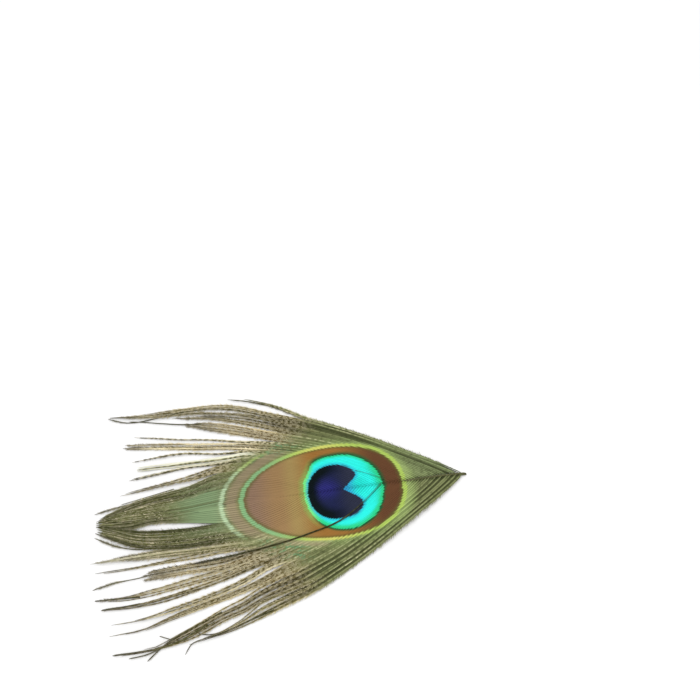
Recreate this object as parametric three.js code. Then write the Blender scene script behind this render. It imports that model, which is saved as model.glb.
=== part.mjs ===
// A peacock's eye feather, cut short below the eye and lying face up on a flat surface.
// Millimetres, +Z up. The shaft runs along X, its cut end towards +X and the tuft towards -X.
// A feather branches: barbs grow from both sides of the shaft, hold together around the eye
// and part into locks beyond it. Each lock is one solid, from its roots on the shaft to its tips.
import * as THREE from "three";

// Driving dimensions.
const SHAFT_LENGTH = 58;
const SHAFT_ROOT_RADIUS = 0.6;
const SHAFT_TIP_RADIUS = 0.2;
const VANE_THICKNESS = 0.9;
const LOCK_TIP_THICKNESS = 0.6;
const GAP = 0.3;

// The vane is a low dome over the surface: highest under the eye, flat beyond these distances.
const DOME_RISE = 1.2;
const DOME_CENTRE = 42;
const DOME_HALF_LENGTH = 42;
const DOME_HALF_WIDTH = 22;

// How barbs grow: each leaves the shaft steeply and straightens towards the tip of the feather.
// The first barbs take the longest to straighten, and the last ones run straight on from the shaft.
const ROOT_SLOPE = 0.8;
const LAST_ROOTS_POWER = 8;
const OUTER_SLOPE = 0.29;
const OUTER_ROOTS = 12;
const STRAIGHTENING = 42;
const STRAIGHTENING_END = 66;
const STRAIGHTENING_POWER = 1.25;

// Next to the cut end the barbs spread less: this part less on each side, and how far that reaches.
const UPPER_SIDE = { direction: 1, narrowing: 0.22, reach: 24 };
const LOWER_SIDE = { direction: -1, narrowing: 0.15, reach: 26 };

// Facets of each solid.
const LOCK_STEPS = 18;
const LOCK_STRIPS = 2;
const SHAFT_STEPS = 24;
const SHAFT_SIDES = 10;

// The locks of each side, outermost first. roots: where the lock's first and last barbs leave
// the shaft, from its cut end. parts: how far from the cut end it parts from its neighbours.
// path: [distance from the cut end, distance from the shaft's line, width] of the loose part
// beyond that, the last one at the tips.
const UPPER_LOCKS = [
  { roots: [1, 2.6], parts: 45, path: [[55, 33.6, 1.1], [62, 36.6, 1], [70, 39.2, 0.8]] },
  {
    roots: [2.6, 7.5],
    parts: 52,
    path: [[70, 35, 4], [80, 36.3, 3.2], [95, 36.3, 1.8], [108, 37.4, 0.6]],
  },
  { roots: [7.5, 11.5], parts: 52, path: [[70, 30.6, 3.4], [80, 33, 2.2], [90, 34.3, 1]] },
  {
    roots: [11.5, 17],
    parts: 52,
    path: [[70, 26.9, 3.4], [80, 29.6, 3.2], [88, 31.4, 2.2], [98, 33.4, 0.8]],
  },
  { roots: [17, 19], parts: 60, path: [[75, 24.3, 1], [85, 26.2, 1], [100, 29.2, 0.7]] },
  {
    roots: [19, 25],
    parts: 60,
    path: [[70, 21, 3], [80, 22.2, 3], [90, 24, 3], [103.5, 26.4, 1.2]],
  },
  { roots: [25, 27], parts: 66, path: [[75, 18.9, 0.9], [85, 20.2, 0.9], [100.5, 20, 0.6]] },
  { roots: [27, 31], parts: 66, path: [[75, 17.1, 1.6], [85, 17.3, 2], [99, 17.4, 1]] },
  { roots: [31, 35], parts: 66, path: [[75, 15.3, 1.2], [85, 15.4, 1], [101.5, 14, 0.6]] },
  {
    roots: [35, 40],
    parts: 66,
    path: [[75, 13.2, 2], [85, 11.6, 2], [95, 9.9, 1.4], [104, 8.6, 0.7]],
  },
  {
    roots: [40, 49.5],
    parts: 66,
    path: [[75, 8.7, 4.6], [85, 7, 3.2], [95, 5, 2.2], [103, 3.2, 1.4], [109.5, 1.5, 0.7]],
  },
  {
    roots: [49.5, 58],
    parts: 66,
    path: [[75, 3.1, 4.8], [85, 2.4, 3.6], [95, 1.6, 2.2], [103, 1, 1.2], [110, 0.6, 0.6]],
  },
];
const LOWER_LOCKS = [
  { roots: [1, 5.5], parts: 50, path: [[65, 33.9, 2.6], [75, 36.9, 1.6], [86, 39.1, 0.6]] },
  {
    roots: [5.5, 12],
    parts: 52,
    path: [[65, 28.9, 4.8], [75, 32.4, 3.6], [87, 35.4, 2.4], [103, 39.2, 0.7]],
  },
  {
    roots: [12, 17],
    parts: 56,
    path: [[70, 26.2, 2.6], [80, 28.9, 1.9], [90, 31.3, 1.6], [106, 33.6, 0.7]],
  },
  {
    roots: [17, 20.5],
    parts: 60,
    path: [[70, 23.6, 1.7], [80, 26.5, 1.8], [90, 29, 1.6], [105.5, 30.7, 0.7]],
  },
  { roots: [20.5, 24], parts: 66, path: [[75, 22.1, 1.5], [90, 25.1, 1.5], [108.5, 26.2, 0.7]] },
  { roots: [24, 27.5], parts: 66, path: [[75, 20, 1.7], [90, 22.6, 1.6], [110, 23.2, 0.7]] },
  {
    roots: [27.5, 33.5],
    parts: 66,
    path: [[75, 17.2, 2.8], [85, 17.7, 3.2], [97, 18.3, 3], [110.5, 19.6, 0.6]],
  },
  { roots: [33.5, 35.5], parts: 66, path: [[80, 13.9, 0.9], [95, 14.6, 0.8], [110.5, 15.4, 0.5]] },
  { roots: [35.5, 40], parts: 66, path: [[80, 12.1, 2], [90, 12.1, 2.2], [111.5, 12.2, 0.9]] },
  {
    roots: [40, 45],
    parts: 66,
    path: [[75, 9.5, 2.2], [85, 9.4, 2.4], [95, 8.7, 2.4], [103, 6.3, 1.6], [109, 3.7, 0.7]],
  },
  {
    roots: [45, 50],
    parts: 66,
    path: [[75, 6.8, 2.4], [85, 6.5, 2.2], [95, 5.7, 2], [103, 3.7, 1.4], [109.5, 2, 0.6]],
  },
  { roots: [50, 58], parts: 66, path: [[75, 2.6, 4], [85, 1.4, 1.8], [95, 0.9, 0.9], [108, 0.6, 0.5]] },
];

// Looks of the plain solids.
const SHAFT_MATERIAL = { color: 0x6f6a48, roughness: 0.45, metalness: 0 };
const VANE_MATERIAL = { color: 0x6e7048, roughness: 0.6, metalness: 0 };
const EYE_MATERIAL = { color: 0x8a6a42, roughness: 0.45, metalness: 0.15 };
const TUFT_ROOTS = 35;

function shaftRadius(along) {
  return THREE.MathUtils.lerp(SHAFT_ROOT_RADIUS, SHAFT_TIP_RADIUS, along / SHAFT_LENGTH);
}

// Height of the underside of the vane over the surface.
function domeHeight(along, across) {
  const lengthwise = 1 - ((along - DOME_CENTRE) / DOME_HALF_LENGTH) ** 2;
  const widthwise = 1 - (across / DOME_HALF_WIDTH) ** 2;
  return DOME_RISE * Math.max(lengthwise, 0) * Math.max(widthwise, 0);
}

// Distance from the shaft's line of the barb rooted at root, where it is along from the cut end,
// if it held together with its neighbours all the way.
function fanDistance(root, along, side) {
  const run = along - root;
  const farSlope = OUTER_SLOPE * Math.exp(-((root / OUTER_ROOTS) ** 2));
  const bend = STRAIGHTENING * (1 - (root / STRAIGHTENING_END) ** STRAIGHTENING_POWER);
  const rootSlope = ROOT_SLOPE * (1 - (root / SHAFT_LENGTH) ** LAST_ROOTS_POWER);
  const spread = (rootSlope - farSlope) * bend * (1 - Math.exp(-run / bend));
  const narrowed = 1 - side.narrowing * Math.exp(-((along / side.reach) ** 2));
  return shaftRadius(root) + GAP + (farSlope * run + spread) * narrowed;
}

// A smooth curve through stations [distance from the cut end, distance from the shaft's line,
// width], as the last two at that distance from the cut end.
function curveAt(stations, along) {
  const found = stations.findIndex((station) => along <= station[0]);
  const next = found < 0 ? stations.length - 1 : Math.max(found, 1);
  const [start, end] = [stations[next - 1], stations[next]];
  const before = stations[Math.max(next - 2, 0)];
  const after = stations[Math.min(next + 1, stations.length - 1)];
  const step = end[0] - start[0];
  const t = (along - start[0]) / step;
  const slopeIn = (end[1] - before[1]) / (end[0] - before[0]);
  const slopeOut = (after[1] - start[1]) / (after[0] - start[0]);
  const distance =
    (2 * t ** 3 - 3 * t ** 2 + 1) * start[1] +
    (t ** 3 - 2 * t ** 2 + t) * step * slopeIn +
    (3 * t ** 2 - 2 * t ** 3) * end[1] +
    (t ** 3 - t ** 2) * step * slopeOut;
  return [distance, THREE.MathUtils.lerp(start[2], end[2], t)];
}

// A point of a lock: lengthwise 0 at the shaft and 1 at the tips, inward 0 at its outer edge
// and 1 at its inner one. Gives [distance from the cut end, distance from the shaft's line].
function lockPoint(lock, side, lengthwise, inward) {
  const first = lock.roots[0] + GAP;
  const last = lock.roots[1] - GAP;
  const root = THREE.MathUtils.lerp(first, last, inward);
  const tips = lock.path[lock.path.length - 1][0];
  const along = THREE.MathUtils.lerp(root, tips, lengthwise);
  if (along <= lock.parts) {
    return [along, fanDistance(root, along, side)];
  }
  const outer = fanDistance(first, lock.parts, side);
  const inner = fanDistance(last, lock.parts, side);
  const parting = [lock.parts, (outer + inner) / 2, outer - inner];
  const [middle, width] = curveAt([parting, ...lock.path], along);
  return [along, middle + (0.5 - inward) * width];
}

function lockGeometry(lock, side) {
  const geometry = new THREE.BoxGeometry(1, 1, 1, LOCK_STEPS, LOCK_STRIPS, 1);
  const points = geometry.getAttribute("position");
  for (let i = 0; i < points.count; i += 1) {
    const lengthwise = points.getX(i) + 0.5;
    const inward = 0.5 + side.direction * points.getY(i);
    const [along, across] = lockPoint(lock, side, lengthwise, inward);
    const thickness = THREE.MathUtils.lerp(VANE_THICKNESS, LOCK_TIP_THICKNESS, lengthwise);
    const height = domeHeight(along, across) + (points.getZ(i) + 0.5) * thickness;
    points.setXYZ(i, -along, side.direction * across, height);
  }
  geometry.computeVertexNormals();
  return geometry;
}

// The shaft is a tapering rod that follows the dome, its underside level with the vane's.
function shaftGeometry() {
  const geometry = new THREE.CylinderGeometry(
    SHAFT_TIP_RADIUS,
    SHAFT_ROOT_RADIUS,
    SHAFT_LENGTH,
    SHAFT_SIDES,
    SHAFT_STEPS,
  );
  geometry.rotateZ(Math.PI / 2);
  geometry.translate(-SHAFT_LENGTH / 2, 0, 0);
  const points = geometry.getAttribute("position");
  for (let i = 0; i < points.count; i += 1) {
    const along = -points.getX(i);
    points.setZ(i, points.getZ(i) + shaftRadius(along) + domeHeight(along, 0));
  }
  geometry.computeVertexNormals();
  return geometry;
}

function addPiece(group, name, geometry, look) {
  const mesh = new THREE.Mesh(geometry, new THREE.MeshStandardMaterial(look));
  mesh.name = name;
  group.add(mesh);
}

function addLocks(group, locks, side, sideName) {
  locks.forEach((lock, i) => {
    const number = String(i + 1).padStart(2, "0");
    const look = lock.roots[0] < TUFT_ROOTS ? VANE_MATERIAL : EYE_MATERIAL;
    addPiece(group, `${sideName}_lock_${number}`, lockGeometry(lock, side), look);
  });
}

const feather = new THREE.Group();
addPiece(feather, "shaft", shaftGeometry(), SHAFT_MATERIAL);
addLocks(feather, UPPER_LOCKS, UPPER_SIDE, "upper");
addLocks(feather, LOWER_LOCKS, LOWER_SIDE, "lower");

// The origin is the middle of the feather's box, on the surface it lies on.
const box = new THREE.Box3().setFromObject(feather);
const middle = box.getCenter(new THREE.Vector3());
feather.position.set(-middle.x, -middle.y, -box.min.z);
feather.updateMatrixWorld(true);

export default feather;
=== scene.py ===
"""A peacock's eye feather lying face up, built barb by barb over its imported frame.

Lengths are in millimetres, apart from the properties, which are in metres. A place on the
feather is told by along, the distance from the cut end of the shaft, and across, the distance
from the shaft's line. Seen from above with the cut end to the right, the upper side is +Y.
"""

import math
from typing import NamedTuple

import bpy
import numpy as np
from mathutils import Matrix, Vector


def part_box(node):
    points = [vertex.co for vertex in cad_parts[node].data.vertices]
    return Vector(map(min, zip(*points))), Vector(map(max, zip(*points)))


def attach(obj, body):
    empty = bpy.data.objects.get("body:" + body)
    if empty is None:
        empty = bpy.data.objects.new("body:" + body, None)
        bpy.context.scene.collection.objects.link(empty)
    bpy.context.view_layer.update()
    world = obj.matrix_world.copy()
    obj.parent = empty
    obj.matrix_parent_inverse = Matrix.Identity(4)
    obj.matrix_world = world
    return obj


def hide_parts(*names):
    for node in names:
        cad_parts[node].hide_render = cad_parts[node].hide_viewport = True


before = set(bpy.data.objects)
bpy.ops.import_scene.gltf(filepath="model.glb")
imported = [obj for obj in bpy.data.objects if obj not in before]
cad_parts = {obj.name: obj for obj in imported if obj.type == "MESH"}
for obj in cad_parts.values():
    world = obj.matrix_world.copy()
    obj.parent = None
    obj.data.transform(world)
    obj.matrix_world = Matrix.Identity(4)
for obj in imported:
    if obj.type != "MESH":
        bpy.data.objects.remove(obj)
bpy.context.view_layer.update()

bl_info = {
    "name": "Peacock eye feather",
    "version": (1, 0, 0),
    "blender": (4, 5, 0),
    "location": "View3D > Sidebar > Feather",
    "description": "Builds a trimmed peacock eye feather on its packed frame",
    "category": "Add Mesh",
}

MM = 0.001
SHAFT_LOW, SHAFT_HIGH = (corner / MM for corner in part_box("shaft"))

# The shaft and the dome that the vane makes, as in the frame.
SHAFT_LENGTH = SHAFT_HIGH.x - SHAFT_LOW.x
SHAFT_ROOT_RADIUS = (SHAFT_HIGH.y - SHAFT_LOW.y) / 2
SHAFT_TIP_RADIUS = 0.2
GAP = 0.3
SHAFT_SIDES = 16
SHAFT_RINGS = 60
SHAFT_FLATTENED = 0.6
RIDGE = 0.65
CUT_RADII = (0.55, 0.7)
CUT_SLANT = 0.8
CUT_DEPTH = 0.25
DOME_RISE = 1.2
DOME_CENTRE = 42
DOME_HALF_LENGTH = 42
DOME_HALF_WIDTH = 22

# How barbs grow: each leaves the shaft steeply and straightens towards the tip of the feather.
ROOT_SLOPE = 0.8
LAST_ROOTS_POWER = 8
OUTER_SLOPE = 0.29
OUTER_ROOTS = 12
STRAIGHTENING = 42
STRAIGHTENING_END = 66
STRAIGHTENING_POWER = 1.25

# Next to the cut end the web is narrower: by which part of its width, and over what length.
BASE_NARROWING_UPPER = (0.22, 24)
BASE_NARROWING_LOWER = (0.15, 26)

# The web that the barbs make while they hold together: its height over the dome, and each barb's
# crown, tilt, and share of its neighbour that it lies over.
WEB_HEIGHT = 0.6
WEB_CROWN = 0.05
WEB_TILT = 0.09
WEB_OVERLAP = 0.25

# Where the barbs cover the shaft, where they start beside it or across its line, and over which
# length they come away from it. The last barbs close over its line and open again at its end.
SHAFT_COVERED = 20
COVERING = 3
BESIDE_SHAFT = 0.12
ACROSS_LINE = -0.1
ROOT_FADE = 2.5
CLOSING_ROOTS = (42, 52)
CLOSING_END = (80, 95)

# Lengths over which a lock parts from its neighbours, its barbs let go of each other and come
# down on the surface, and how far they then wander.
PARTING = 5
OPENING = 25
SETTLING = 22
WANDER = 0.22
LAYERS = (0.2, 0.75)
LOWEST_BARB = 0.22
TUFT_SPREAD = 0.6
TUFT_ROOTS = (34, 40)
TUFT_END = (84, 96)

# Detail of the barbs: points along each, distance between the beads of barbules, root of the dark
# line on the upper side, and how many of the golden barbs fill the gaps between strands.
BARB_STEPS = 34
BEAD_LENGTH = 2.2
DARK_ROOT = 5
FILLERS = 0.24
DARK_STRIPES = (-1.3, -0.7)
LIGHT_STRIPES = (0.1, 0.5)

# A barb's cross-section, in half widths and half heights, and a barbule's lean and crosswise places.
SECTION = np.array([(-1, 0), (-0.35, 1), (0.35, 1), (1, 0), (0.35, -1), (-0.35, -1)])
BARBULE_LEAN = math.radians(38)
BARBULE_LEANS_BY = 0.14
BARBULE_DEPTH = 0.05
BARBULE_CROSSWISE = (1.2, 1.2, 1.2, 2)
LOWEST_BARBULE = 0.01

# Shares of a lane on the bake map: its margin, the barb, each side's barbules, and the shaft.
LANE_MARGIN = 0.02
BARB_SPAN = 0.46
BARBULE_LANES = (0.52, 0.76)
SHAFT_SPAN = 0.96


class Lock(NamedTuple):
    """Barbs that stay together. roots: where the first and last leave the shaft. parts: where the
    lock leaves its neighbours. path: [along, across, width] beyond that. opens: where its barbs let
    go of each other. ragged: how much shorter than the lock its barbs may be. bare: the length of
    tip without barbules. gold: 0 olive, 1 golden brown. beads: how unevenly barbules stand. strands:
    how many strands its loose barbs clump into. shade: added to their tone, dark below 0. fluff:
    length of its barbules, in parts of the longest."""

    roots: tuple
    parts: float
    path: tuple
    opens: float
    ragged: float = 8
    bare: float = 5
    gold: float = 0.5
    beads: float = 0.4
    strands: int = 3
    shade: float = 0
    fluff: float = 1


# The locks of each side, outermost first, on nearly the same lines as in the frame.
UPPER_LOCKS = (
    Lock(
        roots=(1, 2.6), parts=45, opens=40, ragged=6, bare=6, gold=0.1, beads=0.3,
        path=((55, 33.6, 1.1), (62, 36.6, 1), (70, 39.2, 0.8)),
    ),
    Lock(
        roots=(2.6, 7.5), parts=52, opens=43, ragged=20, gold=0.6, strands=5,
        path=((65, 33, 5), (72, 34.9, 5), (80, 35.9, 3.8), (95, 36.3, 1.8), (108, 37.4, 0.6)),
    ),
    Lock(
        roots=(7.5, 11.5), parts=52, opens=46, ragged=10, bare=3, gold=0.7, shade=-0.3,
        path=((65, 29.3, 3), (75, 32.4, 2), (88, 34.4, 0.9)),
    ),
    Lock(
        roots=(11.5, 17), parts=52, opens=49, ragged=5, bare=1, gold=1, strands=4,
        path=((70, 27.2, 3.2), (76, 29, 2.9), (81, 30.4, 2), (84.5, 31.3, 1)),
    ),
    Lock(
        roots=(17, 19), parts=60, opens=52,
        ragged=5, bare=1, gold=0.4, beads=1, strands=1, shade=0.3, fluff=0.5,
        path=((75, 23.9, 0.8), (85, 25.7, 0.8), (100, 29, 0.6)),
    ),
    Lock(
        roots=(19, 25), parts=60, opens=55,
        ragged=5, bare=1, gold=0.8, beads=0.35, shade=0.3, fluff=0.8,
        path=((70, 20.8, 2.4), (80, 22.2, 2.4), (90, 23.8, 2.2), (103.5, 25.7, 1.4)),
    ),
    Lock(
        roots=(25, 27), parts=66, opens=58,
        ragged=4, bare=1, gold=0.4, beads=1, strands=1, fluff=0.55,
        path=((75, 18.7, 0.8), (84, 20.3, 0.8), (100.5, 19.7, 0.5)),
    ),
    Lock(
        roots=(27, 31), parts=66, opens=60,
        ragged=5, bare=1, gold=0.1, beads=0.5, strands=2, shade=1.9, fluff=0.2,
        path=((75, 16.6, 1.4), (85, 16.8, 1.8), (99, 16.8, 1.6)),
    ),
    Lock(
        roots=(31, 35), parts=66, opens=65,
        ragged=6, bare=2, gold=0.3, beads=0.9, strands=1, fluff=0.5,
        path=((75, 15, 1), (85, 15.1, 0.8), (101.5, 13.5, 0.5)),
    ),
    Lock(
        roots=(35, 40), parts=66, opens=67,
        ragged=14, gold=0.6, beads=0.7, strands=2, shade=0.3, fluff=0.75,
        path=((75, 13, 2.4), (82, 11.6, 2.4), (90, 10.4, 1), (104, 8.2, 0.5)),
    ),
    Lock(
        roots=(40, 49.5), parts=66, opens=70,
        ragged=6, bare=2, gold=0.12, beads=0.1, strands=5, shade=-0.35,
        path=(
            (75, 8.5, 4.6), (85, 6, 3.3), (95, 4.7, 3.5),
            (100, 3.8, 3.5), (105, 2.4, 2.4), (110.5, 0.6, 0.7),
        ),
    ),
    Lock(
        roots=(49.5, 58), parts=66, opens=86,
        ragged=6, bare=2, gold=0.05, beads=0.1, strands=4, shade=-0.2,
        path=((75, 2.7, 5.4), (85, 2.1, 5), (95, 1.6, 4.2), (103, 1.2, 2.6), (110.5, 0.2, 0.8)),
    ),
)
LOWER_LOCKS = (
    Lock(
        roots=(1, 5.5), parts=50, opens=46, ragged=9, bare=8, gold=0.44, beads=0.2, shade=-0.2,
        path=((65, 32.9, 3.8), (70, 35.3, 2), (76, 37.3, 1), (80, 38.1, 0.5), (85, 39.2, 0.4)),
    ),
    Lock(
        roots=(5.5, 12), parts=52, opens=49,
        ragged=14, bare=14, gold=0.7, strands=4, shade=-0.1, fluff=0.8,
        path=(
            (65, 28.6, 4.4), (70, 31, 4.2), (75, 32.4, 3.6), (80, 34.4, 3.6),
            (85, 36.4, 3.4), (90, 38, 2), (93, 38.9, 0.6), (105, 39.2, 0.4),
        ),
    ),
    Lock(
        roots=(12, 17), parts=56, opens=51,
        ragged=10, bare=12, gold=0.7, strands=2, shade=0.8, fluff=0.7,
        path=((70, 26.5, 2.6), (80, 28.9, 2), (90, 31.4, 1.2), (97, 33.4, 0.9), (106, 33.7, 0.5)),
    ),
    Lock(
        roots=(17, 20.5), parts=62, opens=53,
        ragged=10, bare=12, gold=0.6, beads=0.6, strands=2, shade=0.7, fluff=0.85,
        path=((71, 24.5, 2.8), (80, 26.9, 2.6), (90, 29.2, 1.8), (97, 30.5, 1), (105.5, 30.7, 0.5)),
    ),
    Lock(
        roots=(20.5, 24), parts=66, opens=53, bare=12, gold=0.7, strands=2, shade=-0.2, fluff=0.7,
        path=((75, 22.3, 1.6), (90, 25.3, 2), (100, 26.5, 1.3), (108.5, 26.2, 0.6)),
    ),
    Lock(
        roots=(24, 27.5), parts=66, opens=56,
        ragged=10, bare=14, gold=0.8, beads=0.6, strands=2, shade=0.2,
        path=((75, 20.3, 2.2), (85, 21.9, 2.6), (95, 23.2, 2.1), (103, 23.8, 1), (110, 23.2, 0.6)),
    ),
    Lock(
        roots=(27.5, 33.5), parts=66, opens=59, ragged=3, bare=1, gold=0.9, beads=0.35, shade=-0.2,
        path=((75, 17.9, 4.4), (85, 18.1, 5), (97.5, 18.4, 4.6)),
    ),
    Lock(
        roots=(33.5, 35.5), parts=66, opens=63,
        ragged=4, bare=8, gold=0.6, strands=2, shade=0.2, fluff=0.9,
        path=((75, 13.9, 1.4), (82, 14.3, 1.8), (92, 14.8, 1), (110.5, 15.5, 0.4)),
    ),
    Lock(
        roots=(35.5, 40), parts=66, opens=66, ragged=12, bare=3, gold=0.3, beads=0.2, shade=0.1,
        path=((80, 12.3, 2.6), (90, 12.1, 2.4), (100, 12, 1.4), (111.8, 12.3, 0.7)),
    ),
    Lock(
        roots=(40, 45), parts=66, opens=69, ragged=5, bare=2, gold=0.1, beads=0.1, shade=-0.4,
        path=(
            (75, 9.8, 2.6), (85, 9.8, 2.8), (95, 9, 2.8),
            (100, 7.7, 2.6), (105, 5.2, 2), (110, 2.6, 0.8),
        ),
    ),
    Lock(
        roots=(45, 50), parts=66, opens=72, ragged=5, bare=2, gold=0.05, beads=0.1, shade=-0.4,
        path=(
            (75, 7, 2.6), (85, 6.9, 2.6), (95, 6.1, 2.6),
            (100, 4.9, 2.6), (105, 3, 2.2), (110.5, 1.2, 0.8),
        ),
    ),
    Lock(
        roots=(50, 58), parts=66, opens=83,
        ragged=5, bare=2, gold=0.05, beads=0.1, strands=4, shade=-0.3,
        path=(
            (75, 2.5, 5), (85, 1.6, 3), (92, 1.4, 1.4), (96, 1.4, 1.5),
            (101, 1.7, 2.8), (105, 1.4, 2.4), (110.5, 0.5, 0.8),
        ),
    ),
)


# Barbs out of their locks: side, number of the lock they grow in, lift over the rest, thickness
# in parts of a barb's, tone, where their barbules start, and path [along, across] of each.
STRAY_LOCK = Lock((0, 0), 0, (), 0, bare=2, gold=0.2, beads=0.1)
STRAYS = (
    (
        -1, 6, 0.3, 1.5, -2.4, 64,
        ((26.5, 0.2), (32, 5), (40, 10.2), (50, 13), (60, 14.8), (72, 15.9), (84, 16.6)),
    ),
    (1, 6, 0.25, 0.9, -1.2, 90, ((25.3, 1.1), (28, 2.8), (31, 4.4), (33.5, 5.6))),
    (
        -1, 1, 0.1, 1.2, -1.2, 99,
        ((62, 33.4), (70, 35.6), (77, 37.6), (81, 38.2), (84.5, 39.2), (86.2, 41.7)),
    ),
    (-1, 1, 0.1, 1.2, -1.2, 99, ((76, 37.2), (80, 37.3), (84, 36))),
    (-1, 2, 0.1, 1.6, -0.8, 99, ((76, 31.7), (84, 34.8), (90, 37.4), (93, 39.4), (96, 41.9))),
    (-1, 2, 0.2, 1.4, -0.6, 99, ((78, 34.2), (86, 37.6), (92, 38.8), (96, 40.1), (100.8, 40.5))),
    (-1, 2, 0.3, 1.6, -0.6, 99, ((80, 34.6), (87, 37.8), (92, 38.9), (98, 39.1), (105, 39))),
    (-1, 2, 0.2, 1, -0.4, 99, ((86, 38), (89, 37.4), (92.8, 35.7))),
    (1, 2, 0.1, 1.2, -1.2, 99, ((84, 36.2), (92, 35.3), (98, 34.6), (103, 35), (108.3, 37.2))),
    (1, 4, 0.1, 1.4, -1.2, 99, ((78, 30.6), (85, 31.4), (92, 33), (97, 34.3), (101.5, 35.1))),
    (-1, 5, 0.1, 1.8, -1.4, 99, ((98, 25.9), (103, 26.1), (108.3, 26.1))),
    (-1, 6, 0.1, 1.6, -1.4, 99, ((98, 23.9), (104, 23.6), (110.2, 23.2))),
    (-1, 7, 0.1, 1, -0.6, 99, ((92, 17.6), (98, 18.4), (105, 18.8), (111, 20))),
    (1, 11, 0.2, 1, -0.4, 99, ((88, 8.4), (96, 6.9), (103.5, 5.4))),
    (1, 11, 0.2, 1, -0.6, 99, ((90, 7.6), (98, 5.8), (105, 4.6), (111.3, 3.4))),
    (-1, 10, 0.2, 1.2, -0.6, 99, ((92, 8.7), (101, 7.6), (106, 5.4), (110.8, 2.7))),
    (-1, 10, 0.1, 1, -0.6, 99, ((90, 10.3), (99, 9.6), (105, 7.6), (111, 4.1))),
)


def length(name, description, default, least=0.0):
    return bpy.props.FloatProperty(
        name=name, description=description, default=default, min=least, unit="LENGTH"
    )


class FeatherSizes(bpy.types.PropertyGroup):
    """Sizes that the frame doesn't set."""

    barb_spacing: length("Barb spacing", "Distance between two barbs' roots", 0.00095, 0.0004)
    barb_width: length("Barb width", "Thickness of a loose barb", 0.00034)
    barbule_length: length("Barbule length", "Longest barbules of a loose barb", 0.0013)
    barbule_spacing: length("Barbule spacing", "Between barbules on one side", 0.00017, 0.0001)
    barbule_width: length("Barbule width", "Width of a barbule where it starts", 0.0003)
    seed: bpy.props.IntProperty(
        name="Seed", description="Chooses the random waves, lengths and tones", default=7, min=0
    )


def tint(code):
    """The linear colour of a display colour code such as 0x8090a0."""
    shares = ((code >> shift & 255) / 255 for shift in (16, 8, 0))
    return tuple(s / 12.92 if s <= 0.04045 else ((s + 0.055) / 1.055) ** 2.4 for s in shares)


def colour(name, description, code):
    return bpy.props.FloatVectorProperty(
        name=name,
        description=description,
        default=tint(code),
        subtype="COLOR",
        size=3,
        min=0,
        max=1,
    )


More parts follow.
